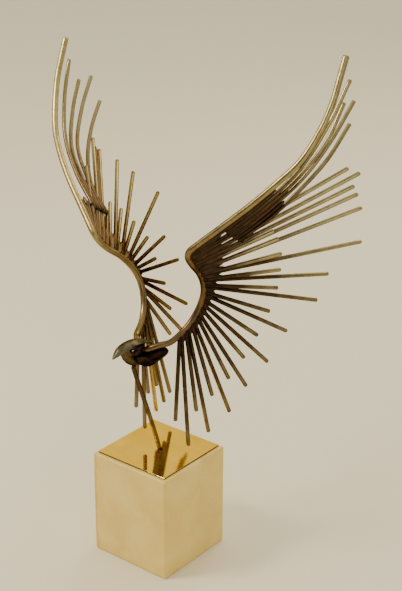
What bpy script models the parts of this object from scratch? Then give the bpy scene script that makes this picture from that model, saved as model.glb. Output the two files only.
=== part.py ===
"""A bird in flight, welded from brass rod, on a square stone block with a brass plate.

Units are metres, +Z is up, and the origin is the middle of the block's underside.
The bird flies towards -Y, so its left wing is on the +X side.
"""

import math

import bpy
import numpy as np
from mathutils.bvhtree import BVHTree

# Block and plate
BLOCK_SIDE = 0.1016
BLOCK_HEIGHT = 0.1200
BLOCK_EDGE_RADIUS = 0.0025
PLATE_THICKNESS = 0.0016
PLATE_MARGIN = 0.0046
PLATE_EDGE_EASE = 0.0003

# Stock that the bird is made of
WING_ROD_DIAMETER = 0.0065
FEATHER_DIAMETER = 0.0044
LEG_DIAMETER = 0.0048
SHEET_THICKNESS = 0.0013
BRAZE_DIAMETER = 0.0036

# The gap that neighbouring pieces keep
TOUCH_GAP = 0.0003
# The throat's top edge ends this far under the cap
CAP_SEAT = 0.0005

# How the bird is held: height of its body's centre line over the plate, how far that
# centre lies in front of the block's centre, and how far the left wing is banked up
LEG_REACH = 0.12194
BODY_FORWARD = 0.0254
BANK = math.radians(4.7)
LEG_FOOT_X = 0.0013
LEG_FOOT_Y = -0.0005
LEG_BOW = 0.0016

# The bird's free forms are drawn in units of which its wings rise 301.5 over the body
WING_RISE = 0.3015
UNIT = WING_RISE / 301.5

# Top of the leg on the bird's own axes, in units
LEG_TOP = (0.0, -15.4, -8.4)

# Centre line of the left wing's rod, from its tip to the body: x outwards, y back, z up
WING_ROUTE = (
    (183.5, 118, 301.5), (182.5, 107, 281), (181, 95.5, 259), (175, 82.5, 235),
    (162.5, 66, 208), (144, 51.5, 187.5), (120.5, 37.5, 165.5), (92, 23.5, 142),
    (73.5, 14.5, 127), (64.5, 10.5, 119), (60.5, 12.5, 111.5), (57.5, 22, 100),
    (53, 35, 89), (48.5, 47, 74), (44.5, 52.5, 60), (40, 52, 46.5), (34.5, 46, 32),
    (28.5, 34, 19), (23, 19, 11), (15, 10.5, 9), (2.4, 1.2, 4.3),
)
WRIST = 10
# The right wing's rod was cut this much shorter at its tip, in units
RIGHT_ROD_TRIM = 3.0

# The fan of straight feathers, in units: its first root past the wrist, the step from one
# to the next along the rod; and how far long and short ones stand to either side of it
FIRST_FEATHER = 6.0
FEATHER_STEP = 4.72
FEATHER_STAGGER = 0.0015
TIP_DOME = 0.0016
# Where a dome's shoulder lies, as a share of its height and of the rod's radius
DOME_SHARE = 0.7

# Outward lean of a feather for each length that it runs back, by its place in the fan
LEAN_PLACES = (-2, 4, 6, 8, 12, 15, 18, 21, 25)
LEAN = (0.80, 0.76, 0.72, 0.60, 0.40, 0.23, 0.11, 0.05, 0.01)

# Separate feathers from the wrist to the body: degrees above level, and length in units
LEFT_FAN = (
    (25, 89), (23, 182), (19, 90), (17, 183), (7, 90), (2, 183),
    (-4, 89), (-9.5, 149), (-15, 89), (-20, 145), (-29, 88), (-35, 124),
    (-42.5, 89), (-49, 124), (-54.5, 91), (-61, 122), (-66, 93),
    (-71.5, 129), (-77, 93), (-82.5, 130), (-87, 95), (-92, 129),
    (-101, 92),
)
RIGHT_FAN = (
    (25.5, 88), (23.5, 177), (17, 97), (15, 193), (8, 99), (5, 208),
    (-1, 99), (-5.5, 141), (-11, 85), (-14, 142), (-25, 89), (-31.5, 144),
    (-37.5, 90), (-44, 120), (-50.5, 90), (-70.6, 141), (-74.5, 121),
    (-77, 129), (-78.6, 98), (-84, 120), (-86.5, 90), (-93.5, 122),
    (-98.5, 91),
)
# The separate feathers begin at this place of the fan; those before it are brazed together
FIRST_SEPARATE = 3
# Brazed straight rods: place in the fan, degrees above level, and length in units
LEFT_BRAZED = ((-2, 41.5, 105), (-0.45, 33.2, 182), (0.8, 29.7, 191), (2, 26.5, 181))
RIGHT_BRAZED = ((-2, 41.5, 105), (-0.45, 33.7, 173), (0.8, 31.2, 164), (2, 28.5, 56))
# How much further than the separate ones each starts from the bend of the wrist
BRAZED_STAND_OFF = (0.0036, 0.0003, 0.0003, 0.0003)

# Bent primaries beside the outer arm: points of each one's centre line, from its brazed
# end to its tip, in units
PRIMARIES = (
    ((92.5, 35, 135.5), (127.5, 51.5, 165), (156.5, 71.5, 197.5), (174, 96, 236),
     (185, 121.5, 278)),
    ((91, 40.5, 130.5), (123.5, 56, 158.5), (151.5, 74.5, 187.5), (168.5, 100, 218.5),
     (175.5, 124.5, 254.5)),
    ((91, 47, 126.5), (123.5, 64, 155.5), (151.5, 84, 185.5), (166.5, 112, 217.5),
     (175, 143, 252.5)),
    ((91.5, 54.5, 121.5), (121, 67.5, 145), (143, 89, 170.5), (158.5, 116.5, 197),
     (166.5, 147.5, 228)),
)
# The primaries lie on the fan's lower face on the left wing and on its upper face on the
# right: the face's direction, and in units the step off the fan's middle, where that step
# dies out, and how far the braze seam lies from the primaries' ends
FAN_FACE = (0.69, -0.38, -0.61)
FACE_STEP = 3.2
FACE_FADE = 150
SEAM_INSET = 3.0
# How much shorter the right wing's primaries were cut, in the same order, in units
RIGHT_PRIMARY_TRIM = (4.6, 3.4, 1.0, 5.6)

# Head cap, a leaf of sheet from the beak to the tail: y, ridge height, half width, edge height
CAP_ROWS = (
    (-44.5, 10.6, 0.8, 9.8), (-41, 13.4, 3.0, 11.2), (-34, 18.8, 6.3, 14.0),
    (-26, 20.6, 8.0, 16.0), (-18, 20.9, 8.2, 17.0), (-10, 20.2, 8.0, 16.6),
    (0, 17.2, 6.6, 14.0), (10, 12.4, 4.4, 10.2), (18, 8.2, 1.2, 7.4),
)
CAP_CROWN_POWER = 2.2

# Throat, a gutter of sheet: y and z of its front line, and its depth and half width there
THROAT_ROWS = (
    (-31.5, 16.0, 8.0, 4.2), (-31.0, 9.0, 8.5, 4.6), (-28.0, 2.6, 8.0, 4.6),
    (-22.6, -3.2, 6.5, 4.3), (-17.5, -6.6, 4.8, 3.8), (-12.6, -8.4, 3.4, 3.2),
)

# Body shell, a rolled spoon of sheet: front and rear, half width, depth, and its roll
SHELL_FRONT = -12.4
SHELL_REAR = 38.0
SHELL_HALF_WIDTH = 10.3
SHELL_DEPTH = 15.0
SHELL_ROLL = math.radians(39)
SHELL_FRONT_ROLL = math.radians(4)
SHELL_ROLL_START = 0.08
SHELL_ROLL_END = 0.42
SHELL_AXIS = ((-12.4, 0, 1.0), (-2, 0, 0.8), (8, 0, -4.6), (22, 0.5, -5.2), (38, 2.5, -7.0))
SHELL_FULLNESS = 0.5
SHELL_SKEW = 0.85
SHELL_END_SHARE = 0.10

# Facets of the round pieces
ROD_SIDES = 10
FEATHER_SIDES = 8
PRIMARY_STEPS = 3
ROUTE_STEPS = 3
FINE_STEPS = 24


def clear_scene():
    """Removes whatever the file holds, so that the model starts from nothing."""
    for thing in list(bpy.data.objects):
        bpy.data.objects.remove(thing, do_unlink=True)


def new_material(name, colour, roughness, metallic):
    """A Principled material of one colour."""
    material = bpy.data.materials.new(name)
    material.use_nodes = True
    shader = material.node_tree.nodes["Principled BSDF"]
    shader.inputs["Base Color"].default_value = (*colour, 1.0)
    shader.inputs["Roughness"].default_value = roughness
    shader.inputs["Metallic"].default_value = metallic
    return material


def brass(name):
    """Antiqued brass rod or sheet."""
    return new_material(name, (0.30, 0.20, 0.07), 0.35, 1.0)


def polished_brass(name):
    """The bright plate on the block."""
    return new_material(name, (0.62, 0.45, 0.16), 0.08, 1.0)


def honey_stone(name):
    """Pale honey-coloured stone."""
    return new_material(name, (0.60, 0.48, 0.22), 0.45, 0.0)


def add_object(name, vertices, faces, material, parent=None):
    """Makes a mesh object, shaded smooth except over its sharp edges."""
    mesh = bpy.data.meshes.new(name)
    mesh.from_pydata([tuple(v) for v in vertices], [], faces)
    mesh.materials.append(material)
    mesh.shade_smooth()
    mesh.set_sharp_from_angle(angle=math.radians(50))
    thing = bpy.data.objects.new(name, mesh)
    bpy.context.scene.collection.objects.link(thing)
    thing.parent = parent
    return thing


def smooth_route(points, steps):
    """Centripetal Catmull-Rom curve through the points, each span cut into equal steps."""
    points = np.asarray(points, float)
    padded = np.vstack([2 * points[0] - points[1], points, 2 * points[-1] - points[-2]])
    knots = np.r_[0.0, np.cumsum(np.linalg.norm(np.diff(padded, axis=0), axis=1) ** 0.5)]
    pieces = []
    for i in range(len(points) - 1):
        p0, p1, p2, p3 = padded[i:i + 4]
        t0, t1, t2, t3 = knots[i:i + 4]
        t = np.linspace(t1, t2, steps, endpoint=False)[:, None]
        a1 = (t1 - t) / (t1 - t0) * p0 + (t - t0) / (t1 - t0) * p1
        a2 = (t2 - t) / (t2 - t1) * p1 + (t - t1) / (t2 - t1) * p2
        a3 = (t3 - t) / (t3 - t2) * p2 + (t - t2) / (t3 - t2) * p3
        b1 = (t2 - t) / (t2 - t0) * a1 + (t - t0) / (t2 - t0) * a2
        b2 = (t3 - t) / (t3 - t1) * a2 + (t - t1) / (t3 - t1) * a3
        pieces.append((t2 - t) / (t2 - t1) * b1 + (t - t1) / (t2 - t1) * b2)
    return np.vstack(pieces + [points[-1:]])


def unit(vector):
    """The vector at length one; rows of vectors are each brought to length one."""
    vector = np.asarray(vector, float)
    return vector / np.linalg.norm(vector, axis=-1, keepdims=True)


def closed_tube(rings, first_pole, last_pole):
    """Vertices and faces of a tube through rings of points, fanned shut at both ends."""
    rings = np.asarray(rings)
    count, sides = rings.shape[:2]
    vertices = np.vstack([rings.reshape(-1, 3), first_pole, last_pole])
    first = count * sides
    faces = []
    for i in range(count - 1):
        for j in range(sides):
            k = (j + 1) % sides
            faces.append((i * sides + j, i * sides + k, (i + 1) * sides + k, (i + 1) * sides + j))
    for j in range(sides):
        k = (j + 1) % sides
        faces.append((first, k, j))
        faces.append((first + 1, (count - 1) * sides + j, (count - 1) * sides + k))
    return vertices, faces


def ring(centre, across, up, radius, sides):
    """A circle of points about the centre, turning from across to up."""
    turn = np.linspace(0, 2 * math.pi, sides, endpoint=False)[:, None]
    return centre + radius * (np.cos(turn) * across + np.sin(turn) * up)


def swept_rod(points, radius, sides, side_hint):
    """A round rod along the points, with a low dome on each end."""
    points = np.asarray(points, float)
    tangents = unit(np.gradient(points, axis=0))
    across = unit(np.cross(tangents, side_hint))
    up = np.cross(tangents, across)
    dome = min(TIP_DOME, radius)
    rise = DOME_SHARE * dome
    narrow = DOME_SHARE * radius
    rings = [ring(points[0] - rise * tangents[0], across[0], up[0], narrow, sides)]
    for centre, a, b in zip(points, across, up):
        rings.append(ring(centre, a, b, radius, sides))
    rings.append(ring(points[-1] + rise * tangents[-1], across[-1], up[-1], narrow, sides))
    return closed_tube(rings, points[0] - dome * tangents[0], points[-1] + dome * tangents[-1])


def folded_sheet(outer, thickness):
    """A sheet of even thickness under a grid of points, closed all round its edge."""
    rows, columns = outer.shape[:2]
    along = np.gradient(outer, axis=0)
    over = np.gradient(outer, axis=1)
    inner = outer - thickness * unit(np.cross(along, over))
    vertices = np.vstack([outer.reshape(-1, 3), inner.reshape(-1, 3)])
    shift = rows * columns
    faces = []
    for i in range(rows - 1):
        for j in range(columns - 1):
            a = i * columns + j
            b = a + columns
            faces.append((a, b, b + 1, a + 1))
            faces.append((a + shift, a + 1 + shift, b + 1 + shift, b + shift))
    border = [(i, 0) for i in range(rows)]
    border += [(rows - 1, j) for j in range(1, columns)]
    border += [(i, columns - 1) for i in range(rows - 2, -1, -1)]
    border += [(0, j) for j in range(columns - 2, 0, -1)]
    edge = [i * columns + j for i, j in border]
    for a, b in zip(edge, edge[1:] + edge[:1]):
        faces.append((b, a, a + shift, b + shift))
    return vertices, faces


class WingRod:
    """The smooth centre line of one wing's rod, measured from the wrist."""

    def __init__(self, side):
        """Side is 1 for the left wing and -1 for its mirrored fellow on the right."""
        self.side = side
        mirror = np.array([side, 1.0, 1.0])
        self.route = np.array(WING_ROUTE) * UNIT * mirror
        self.line = smooth_route(self.route, FINE_STEPS)
        length = np.r_[0.0, np.cumsum(np.linalg.norm(np.diff(self.line, axis=0), axis=1))]
        self.station = length - length[WRIST * FINE_STEPS]

    def point(self, station):
        """The centre line's point at a distance past the wrist, negative towards the tip."""
        return np.array([np.interp(station, self.station, self.line[:, i]) for i in range(3)]).T

    def tangent(self, station):
        """The centre line's direction there, towards the body."""
        reach = 0.5 * UNIT
        return unit(self.point(np.asarray(station) + reach) - self.point(np.asarray(station) - reach))


def feather_station(place):
    """Distance past the wrist of a place in the fan, counted in feathers."""
    return (FIRST_FEATHER + place * FEATHER_STEP) * UNIT


def feather_direction(rod, place, degrees):
    """Where a straight feather points: back, up by its angle, and leaning outwards."""
    lean = np.interp(place, LEAN_PLACES, LEAN)
    slope = math.radians(degrees)
    return unit((rod.side * lean, math.cos(slope), math.sin(slope)))


def straight_feather(rod, place, degrees, length, stagger=0.0, stand_off=0.0):
    """A straight round rod that leans outwards, its root coped to fit round the wing rod."""
    station = feather_station(place)
    tangent = rod.tangent(station)
    along = feather_direction(rod, place, degrees)
    normal = unit(np.cross(tangent, along))
    across = np.cross(normal, along)
    off_rod = unit(along - (along @ tangent) * tangent)
    lift = stagger * rod.side
    centre = rod.point(station) + lift * normal
    length = length * UNIT
    radius = FEATHER_DIAMETER / 2
    clear = WING_ROD_DIAMETER / 2 + TOUCH_GAP + stand_off

    def coped(sideways, offset):
        """Distance along the feather at which it clears the round of the wing rod."""
        reach = np.sqrt(np.maximum(clear ** 2 - offset ** 2, (clear / 2) ** 2))
        return (reach - sideways * (across @ off_rod)) / (along @ off_rod)

    turn = np.linspace(0, 2 * math.pi, FEATHER_SIDES, endpoint=False)[:, None]
    sideways = radius * np.cos(turn)
    upward = radius * np.sin(turn)
    foot = centre + coped(sideways, lift + upward) * along + sideways * across + upward * normal
    end = centre + (length - TIP_DOME) * along
    shoulder = end + DOME_SHARE * TIP_DOME * along
    rings = [
        foot,
        ring(end, across, normal, radius, FEATHER_SIDES),
        ring(shoulder, across, normal, DOME_SHARE * radius, FEATHER_SIDES),
    ]
    return closed_tube(rings, centre + coped(0.0, lift) * along, centre + length * along)


def shortened(line, trim):
    """The line with its last point drawn back, as if its end were cut off."""
    line = np.array(line)
    line[-1] -= trim * unit(line[-1] - line[-2])
    return line


def primary_line(rod, points, trim):
    """Centre line of a bent primary, from its brazed end by the wrist to its tip."""
    line = smooth_route(points, PRIMARY_STEPS)
    run = np.r_[0.0, np.cumsum(np.linalg.norm(np.diff(line, axis=0), axis=1))]
    if rod.side < 0:
        fade = np.clip(1 - run / FACE_FADE, 0, 1)
        line = shortened(line - 2 * FACE_STEP * fade[:, None] * unit(FAN_FACE), trim)
    return line * (rod.side, 1, 1) * UNIT


def brazed_primaries(name, rod, straight, material, parent):
    """The bent primaries and the straight rods that carry them, brazed into one piece."""
    shapes = []
    for values, stand_off in zip(straight, BRAZED_STAND_OFF):
        shapes.append(straight_feather(rod, *values, stand_off=stand_off))
    face = unit(FAN_FACE) * (rod.side, 1, 1)
    seam = []
    for points, trim in zip(PRIMARIES, RIGHT_PRIMARY_TRIM):
        line = primary_line(rod, points, trim)
        shapes.append(swept_rod(line, FEATHER_DIAMETER / 2, FEATHER_SIDES, face))
        inwards = SEAM_INSET * UNIT * unit(line[1] - line[0])
        seam.append(line[0] + inwards - rod.side * FACE_STEP * UNIT / 2 * face)
    seam[0] = seam[0] + SEAM_INSET * UNIT * unit(seam[0] - seam[1])
    place, degrees, _ = straight[-1]
    root = rod.point(feather_station(place))
    along = feather_direction(rod, place, degrees)
    seam.append(root + ((seam[-1] - root) @ along) * along)
    shapes.append(swept_rod(seam, BRAZE_DIAMETER / 2, FEATHER_SIDES, face))
    piece = add_object(name, *shapes[0], material, parent)
    for i, shape in enumerate(shapes[1:]):
        tool = add_object(f"{name}_tool_{i:02d}", *shape, material, parent)
        tool.hide_render = True
        tool.display_type = "WIRE"
        union = piece.modifiers.new(f"braze {i:02d}", "BOOLEAN")
        union.operation = "UNION"
        union.solver = "EXACT"
        union.object = tool
    return piece


def wing(name, side, fan, brazed, material, parent):
    """One wing: its bent rod, the fan of straight feathers and the brazed primaries."""
    rod = WingRod(side)
    line = smooth_route(rod.route, ROUTE_STEPS)
    if side < 0:
        line = shortened(line[::-1], RIGHT_ROD_TRIM * UNIT)[::-1]
    back = (0.0, 1.0, 0.0)
    shape = swept_rod(line, WING_ROD_DIAMETER / 2, ROD_SIDES, back)
    add_object(f"{name}_wing_rod", *shape, material, parent)
    brazed_primaries(f"{name}_primaries", rod, brazed, material, parent)
    for place, (degrees, length) in enumerate(fan, FIRST_SEPARATE):
        stagger = FEATHER_STAGGER if place % 2 else -FEATHER_STAGGER
        shape = straight_feather(rod, place, degrees, length, stagger)
        add_object(f"{name}_feather_{place + 1:02d}", *shape, material, parent)


def cap_surface():
    """The cap's outer face: rows from beak to tail, each arched over its half width."""
    rows = np.array(CAP_ROWS)
    over = np.linspace(-1, 1, 7)
    y, ridge, half, edge = (rows[:, i, None] for i in range(4))
    x = half * over
    z = ridge - (ridge - edge) * np.abs(over) ** CAP_CROWN_POWER
    return np.stack([x, y + 0 * x, z], axis=-1) * UNIT


def throat_surface():
    """The throat's outer face, a gutter whose round side looks forwards and down."""
    rows = smooth_route(THROAT_ROWS, 2)
    line = np.stack([np.zeros(len(rows)), rows[:, 0], rows[:, 1]], axis=1)
    tangent = unit(np.gradient(line, axis=0))
    forward = np.cross(tangent, (1.0, 0.0, 0.0))
    turn = np.linspace(-math.pi / 2, math.pi / 2, 7)[None, :, None]
    depth = rows[:, 2, None, None]
    half = rows[:, 3, None, None]
    sideways = half * np.sin(turn) * np.array([1.0, 0.0, 0.0])
    return (line[:, None, :] - depth * (1 - np.cos(turn)) * forward[:, None, :] + sideways) * UNIT


def meet_above(vertices, places, ceiling):
    """Moves the vertices at these places up or down to end just under the ceiling sheet."""
    corners, faces = ceiling
    sight = BVHTree.FromPolygons([tuple(v) for v in corners], faces)
    for i in places:
        x, y, _ = vertices[i]
        hit = sight.ray_cast((x, y, 0.0), (0.0, 0.0, 1.0))[0]
        vertices[i, 2] = hit.z - CAP_SEAT


def shell_surface():
    """The body shell's outer face: a half ellipse that rolls over towards the left."""
    share = np.linspace(SHELL_END_SHARE ** 2, 1 - SHELL_END_SHARE ** 2, 12)
    share = (1 - np.cos(math.pi * share)) / 2
    y = SHELL_FRONT + (SHELL_REAR - SHELL_FRONT) * share
    axis = smooth_route(SHELL_AXIS, FINE_STEPS)
    sideways, height = (np.interp(y, axis[:, 0], axis[:, i]) for i in (1, 2))
    centre = np.stack([sideways, y, height], axis=1)
    skewed = share ** SHELL_SKEW
    full = (4 * skewed * (1 - skewed)) ** SHELL_FULLNESS
    ramp = np.clip((share - SHELL_ROLL_START) / (SHELL_ROLL_END - SHELL_ROLL_START), 0, 1)
    ramp = ramp * ramp * (3 - 2 * ramp)
    roll = SHELL_FRONT_ROLL + (SHELL_ROLL - SHELL_FRONT_ROLL) * ramp
    near = np.stack([np.cos(roll), np.zeros(len(roll)), -np.sin(roll)], axis=1)[:, None, :]
    opening = np.stack([np.sin(roll), np.zeros(len(roll)), np.cos(roll)], axis=1)[:, None, :]
    turn = np.linspace(-math.pi / 2, math.pi / 2, 9)[None, :, None]
    half = SHELL_HALF_WIDTH * full[:, None, None]
    depth = SHELL_DEPTH * full[:, None, None]
    return (centre[:, None, :] + half * np.sin(turn) * near - depth * np.cos(turn) * opening) * UNIT


def body(bird):
    """The head cap, the throat and the body shell, each cut and beaten from sheet."""
    cap = folded_sheet(cap_surface()[:, ::-1], SHEET_THICKNESS)
    add_object("head_cap", *cap, brass("cap brass"), bird)
    surface = throat_surface()
    vertices, faces = folded_sheet(surface, SHEET_THICKNESS)
    rows, columns = surface.shape[:2]
    top_edge = [*range(columns), *range(rows * columns, (rows + 1) * columns)]
    meet_above(vertices, top_edge, cap)
    add_object("throat", vertices, faces, brass("throat brass"), bird)
    shell = folded_sheet(shell_surface(), SHEET_THICKNESS)
    add_object("body_shell", *shell, brass("shell brass"), bird)


def from_bird(point):
    """A point of the bird's own axes, in units, carried to its place over the block."""
    x, y, z = np.array(point) * UNIT
    cosine, sine = math.cos(BANK), math.sin(BANK)
    return np.array([x * cosine - z * sine, y, x * sine + z * cosine]) + bird_centre()


def plate_top():
    """Height of the plate's upper face."""
    return BLOCK_HEIGHT + TOUCH_GAP + PLATE_THICKNESS


def bird_centre():
    """Where the middle of the bird's body stands."""
    return np.array([0.0, -BODY_FORWARD, plate_top() + LEG_REACH])


def leg():
    """The slightly bowed rod that carries the bird, its foot cut level on the plate."""
    foot = np.array([LEG_FOOT_X, LEG_FOOT_Y, plate_top() + TOUCH_GAP])
    top = from_bird(LEG_TOP)
    share = np.linspace(0, 1, 7)[:, None]
    line = foot + (top - foot) * share
    line[:, 1] += LEG_BOW * np.sin(math.pi * share[:, 0]) * (1 - share[:, 0])
    dome = TIP_DOME
    line[-1] -= dome * unit(line[-1] - line[-2])
    tangents = unit(np.gradient(line, axis=0))
    across = unit(np.cross(tangents, (0.0, 1.0, 0.0)))
    up = np.cross(tangents, across)
    radius = LEG_DIAMETER / 2
    rings = [ring(p, a, b, radius, ROD_SIDES) for p, a, b in zip(line, across, up)]
    drop = (foot[2] - rings[0][:, 2:]) / tangents[0, 2]
    rings[0] = rings[0] + drop * tangents[0]
    shoulder = line[-1] + DOME_SHARE * dome * tangents[-1]
    rings.append(ring(shoulder, across[-1], up[-1], DOME_SHARE * radius, ROD_SIDES))
    shape = closed_tube(rings, foot, line[-1] + dome * tangents[-1])
    add_object("leg_rod", *shape, brass("leg brass"))


def box(name, side, height, bottom, material):
    """A square slab centred on the vertical axis."""
    half = side / 2
    corners = [(-half, -half), (half, -half), (half, half), (-half, half)]
    vertices = [(x, y, z) for z in (bottom, bottom + height) for x, y in corners]
    faces = [(0, 3, 2, 1), (4, 5, 6, 7)]
    faces += [(i, (i + 1) % 4, (i + 1) % 4 + 4, i + 4) for i in range(4)]
    return add_object(name, vertices, faces, material)


def stand():
    """The stone block with its softened edges, and the plate let down onto it."""
    block = box("stone_block", BLOCK_SIDE, BLOCK_HEIGHT, 0.0, honey_stone("honey stone"))
    bevel = block.modifiers.new("softened edges", "BEVEL")
    bevel.width = BLOCK_EDGE_RADIUS
    bevel.segments = 3
    plate_side = BLOCK_SIDE - 2 * PLATE_MARGIN
    bottom = BLOCK_HEIGHT + TOUCH_GAP
    plate = box("brass_plate", plate_side, PLATE_THICKNESS, bottom, polished_brass("plate brass"))
    corners = plate.modifiers.new("eased corners", "BEVEL")
    corners.width = PLATE_EDGE_EASE
    corners.segments = 1


def main():
    """Builds the whole sculpture."""
    clear_scene()
    stand()
    leg()
    bird = bpy.data.objects.new("bird", None)
    bpy.context.scene.collection.objects.link(bird)
    bird.location = bird_centre()
    bird.rotation_euler = (0.0, -BANK, 0.0)
    body(bird)
    wing("left", 1, LEFT_FAN, LEFT_BRAZED, brass("left wing brass"), bird)
    wing("right", -1, RIGHT_FAN, RIGHT_BRAZED, brass("right wing brass"), bird)


main()
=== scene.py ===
import math

import bpy
import numpy as np
from mathutils import Matrix


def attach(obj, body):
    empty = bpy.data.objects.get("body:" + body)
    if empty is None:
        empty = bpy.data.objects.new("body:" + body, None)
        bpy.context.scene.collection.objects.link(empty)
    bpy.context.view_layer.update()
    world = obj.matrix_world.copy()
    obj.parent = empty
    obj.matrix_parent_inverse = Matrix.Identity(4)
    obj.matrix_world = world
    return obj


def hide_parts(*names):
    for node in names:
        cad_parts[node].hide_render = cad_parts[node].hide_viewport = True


bl_info = {
    "name": "Welded brass bird",
    "version": (1, 0, 0),
    "blender": (4, 5, 0),
    "location": "View3D > Sidebar > Brass Bird",
    "description": "A bird in flight welded from brass rod, on a honey-coloured stone block",
    "category": "Add Mesh",
}

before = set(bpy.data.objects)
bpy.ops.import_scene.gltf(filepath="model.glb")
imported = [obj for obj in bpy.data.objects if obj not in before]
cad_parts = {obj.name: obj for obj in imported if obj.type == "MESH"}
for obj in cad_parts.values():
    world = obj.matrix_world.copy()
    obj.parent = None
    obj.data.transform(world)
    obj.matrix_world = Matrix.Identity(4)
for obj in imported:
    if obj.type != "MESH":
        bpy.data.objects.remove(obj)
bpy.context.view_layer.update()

# Blender's lengths are metres, and the bird is drawn in millimetres on its own axes, from a point
# in its body: x to its left, y back and z up
MM = 0.001

# Centre line of the left wing's rod, from its tip to the body
WING_ROUTE = (
    (183.5, 118, 301.5), (182.5, 107, 281), (181, 95.5, 259), (175, 82.5, 235),
    (162.5, 66, 208), (144, 51.5, 187.5), (120.5, 37.5, 165.5), (92, 23.5, 142),
    (73.5, 14.5, 127), (64.5, 10.5, 119), (60.5, 12.5, 111.5), (57.5, 22, 100),
    (53, 35, 89), (48.5, 47, 74), (44.5, 52.5, 60), (40, 52, 46.5), (34.5, 46, 32),
    (28.5, 34, 19), (23, 19, 11), (15, 10.5, 9), (2.4, 1.2, 4.3),
)
# The wrist's place in that route. Along the rod past it: the first feather, the step to the next,
# and how far each stands to one side of the row or the other
WRIST = 10
FIRST_FEATHER = 6.0
FEATHER_SPACE = 4.72
FEATHER_STAGGER = 1.5
# How far a feather leans outwards for each unit of its reach, by its place in the fan
LEAN_PLACES = (-2, 4, 6, 8, 12, 15, 18, 21, 25)
LEAN = (0.80, 0.76, 0.72, 0.60, 0.40, 0.23, 0.11, 0.05, 0.01)
# The first place that has a feather of its own, and the right wing's one bright feather
FIRST_SEPARATE = 3
PALEST_FEATHER = 22

# Separate feathers from the wrist to the body: degrees above level, and cut length
LEFT_FAN = (
    (25, 89), (23, 182), (19, 90), (17, 183), (7, 90), (2, 183), (-4, 89), (-9.5, 149),
    (-15, 89), (-20, 145), (-29, 88), (-35, 124), (-42.5, 89), (-49, 124), (-54.5, 91),
    (-61, 122), (-66, 93), (-71.5, 129), (-77, 93), (-82.5, 130), (-87, 95), (-92, 129),
    (-101, 92),
)
RIGHT_FAN = (
    (25.5, 88), (23.5, 177), (17, 97), (15, 193), (8, 99), (5, 208), (-1, 99), (-5.5, 141),
    (-11, 85), (-14, 142), (-25, 89), (-31.5, 144), (-37.5, 90), (-44, 120), (-50.5, 90),
    (-70.6, 141), (-74.5, 121), (-77, 129), (-78.6, 98), (-84, 120), (-86.5, 90), (-93.5, 122),
    (-98.5, 91),
)
# Straight rods that carry the bent primaries: place in the fan, degrees above level, length
LEFT_BRAZED = ((-2, 41.5, 105), (-0.45, 33.2, 182), (0.8, 29.7, 191), (2, 26.5, 181))
RIGHT_BRAZED = ((-2, 41.5, 105), (-0.45, 33.7, 173), (0.8, 31.2, 164), (2, 28.5, 56))
# The bent outer feathers, from their brazed ends to their tips
PRIMARIES = (
    ((92.5, 35, 135.5), (127.5, 51.5, 165), (156.5, 71.5, 197.5), (174, 96, 236),
     (185, 121.5, 278)),
    ((91, 40.5, 130.5), (123.5, 56, 158.5), (151.5, 74.5, 187.5), (168.5, 100, 218.5),
     (175.5, 124.5, 254.5)),
    ((91, 47, 126.5), (123.5, 64, 155.5), (151.5, 84, 185.5), (166.5, 112, 217.5),
     (175, 143, 252.5)),
    ((91.5, 54.5, 121.5), (121, 67.5, 145), (143, 89, 170.5), (158.5, 116.5, 197),
     (166.5, 147.5, 228)),
)
# How much shorter the right wing's primaries and its rod are at their tips
RIGHT_PRIMARY_TRIM = (4.6, 3.4, 1.0, 5.6)
RIGHT_ROD_TRIM = 3.0
# The primaries lie on the fan's lower face on the left wing and on its upper face on the right: the
# face's direction, the step off the fan's middle, the length over which that step dies out, and how
# far the braze seam lies from the primaries' ends
FAN_FACE = (0.69, -0.38, -0.61)
FACE_STEP = 3.2
FACE_FADE = 150.0
SEAM_INSET = 3.0

# The head cap from beak to tail: how far back, height of its ridge, half width, height of its edge
CAP_ROWS = (
    (-44.5, 10.6, 0.8, 9.8), (-41, 13.4, 3.0, 11.2), (-34, 18.8, 6.3, 14.0),
    (-26, 20.6, 8.0, 16.0), (-18, 20.9, 8.2, 17.0), (-10, 20.2, 8.0, 16.6),
    (0, 17.2, 6.6, 14.0), (10, 12.4, 4.4, 10.2), (18, 8.2, 1.2, 7.4),
)
# The throat from beak to body: how far back, height, depth of the gutter and half width
THROAT_ROWS = (
    (-31.5, 16.0, 8.0, 4.2), (-31.0, 9.0, 8.5, 4.6), (-28.0, 2.6, 8.0, 4.6),
    (-22.6, -3.2, 6.5, 4.3), (-17.5, -6.6, 4.8, 3.8), (-12.6, -8.4, 3.4, 3.2),
)
# The body shell's axis from front to back: how far back, how far left, and height
SHELL_AXIS = ((-12.4, 0, 1.0), (-2, 0, 0.8), (8, 0, -4.6), (22, 0.5, -5.2), (38, 2.5, -7.0))
SHELL_HALF_WIDTH = 10.3
SHELL_DEPTH = 15.0
# Its roll to the left in degrees, in front and behind
SHELL_ROLLS = (4.0, 39.0)
# How uneven the beaten sheet is, and how wide its swells are
SHEET_UNEVEN = 0.12
SHEET_WAVE = 9.0

# How the bird stands: its bank, how far its own middle is ahead of the block's and above the
# plate, and the height of the plate's top
BANK = math.radians(4.7)
BODY_FORWARD = 25.4
LEG_REACH = 121.94
PLATE_TOP = 121.9

# The leg's top on the bird's axes, its foot from the middle of the block's underside, its bow, and
# how pale it is at the foot, where the paleness is a painted highlight, and how much darker it is at the
# bird
LEG_TOP = (0.0, -15.4, -8.4)
LEG_FOOT = (1.3, -0.5, PLATE_TOP + 0.3)
LEG_BOW = 1.6
LEG_SIDES = 20
LEG_UNEVEN = 0.03
LEG_TONE = 0.75
LEG_TONE_DROP = 0.5
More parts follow.
